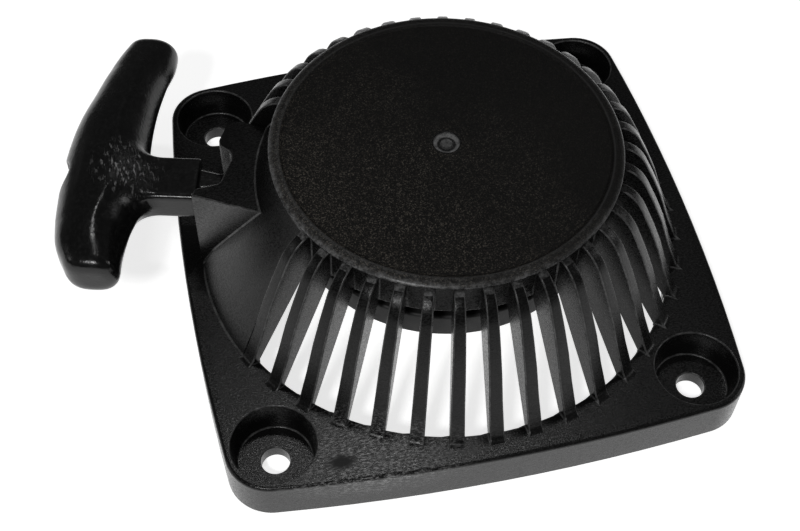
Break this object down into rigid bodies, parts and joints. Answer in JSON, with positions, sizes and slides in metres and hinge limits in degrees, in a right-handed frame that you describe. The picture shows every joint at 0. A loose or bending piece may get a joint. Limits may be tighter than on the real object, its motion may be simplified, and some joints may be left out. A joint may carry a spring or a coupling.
{
  "type": "recoil starter",
  "caption": "Hand-pulled recoil starter for a small engine: a ribbed dome housing with a square mounting flange, a sprung rope reel with swing-out pawls, and a T-shaped pull handle on a rope.",
  "frame": {"origin": "on the reel's axis, in the plane of the flange's mounting face, at the centre of the four mounting holes", "axes": "+Z from the engine towards the closed cap; the rope leaves on the -X side; +X and +Y are square to the flange's sides"},
  "size_m": [0.1401, 0.115, 0.0423],
  "materials": {
    "housing_plastic": "moulded, finely textured",
    "handle_plastic": "moulded, satin",
    "reel_plastic": "moulded",
    "insert_brass": "turned",
    "guide_steel": "turned",
    "spring_steel": "oiled",
    "cover_steel": "zinc plated",
    "screw_steel": "zinc plated",
    "pawl_steel": "sintered",
    "rope_fabric": "braided polyester"
  },
  "bodies": {
    "housing": {"starter_housing": "housing_plastic", "post_insert": "insert_brass", "rope_guide_bush": "guide_steel", "recoil_spring": "spring_steel", "spring_cover": "cover_steel", "screw_spacer": "guide_steel", "friction_spring": "spring_steel", "thrust_washer": "cover_steel", "lock_washer": "cover_steel", "centre_screw": "screw_steel"},
    "reel": {"rope_reel": "reel_plastic", "starter_rope_coil": "rope_fabric", "rope_reel_knot": "rope_fabric", "pawl_pins": "screw_steel", "pawl_spring_a": "spring_steel", "pawl_spring_b": "spring_steel"},
    "pawl_a": {"pawl_a": "pawl_steel"},
    "pawl_b": {"pawl_b": "pawl_steel"},
    "friction_plate": {"friction_plate": "cover_steel"},
    "handle": {"pull_handle": "handle_plastic", "handle_rope_washer": "cover_steel", "rope_handle_knot": "rope_fabric", "starter_rope_lead": "rope_fabric"}
  },
  "joints": [
    {"name": "handle_pull", "type": "slide", "parent": "housing", "child": "handle", "axis": [-0.9703, 0.2419, 0], "range_m": [0, 0.45], "stiffness_N_per_m": 20, "springref_m": -0.3, "deforming": ["starter_rope_lead"]},
    {"name": "reel_spin", "type": "hinge", "parent": "housing", "child": "reel", "pos_m": [0, 0, 0.028], "axis": [0, 0, 1], "range_deg": [-1210, 0], "deforming": ["recoil_spring"]},
    {"name": "friction_plate_turn", "type": "hinge", "parent": "reel", "child": "friction_plate", "pos_m": [0, 0, 0.0115], "axis": [0, 0, 1], "range_deg": [0, 25]},
    {"name": "pawl_a_swing", "type": "hinge", "parent": "reel", "child": "pawl_a", "pos_m": [0.01515, 0.01061, 0.0147], "axis": [0, 0, 1], "range_deg": [0, 30.5]},
    {"name": "pawl_b_swing", "type": "hinge", "parent": "reel", "child": "pawl_b", "pos_m": [-0.01515, -0.01061, 0.0147], "axis": [0, 0, 1], "range_deg": [0, 30.5]}
  ],
  "couplings": [
    {"joint": "reel_spin", "follows": "handle_pull", "rad_per_m": -46.73},
    {"joint": "pawl_a_swing", "follows": "friction_plate_turn", "ratio": 1.2},
    {"joint": "pawl_b_swing", "follows": "friction_plate_turn", "ratio": 1.2}
  ]
}
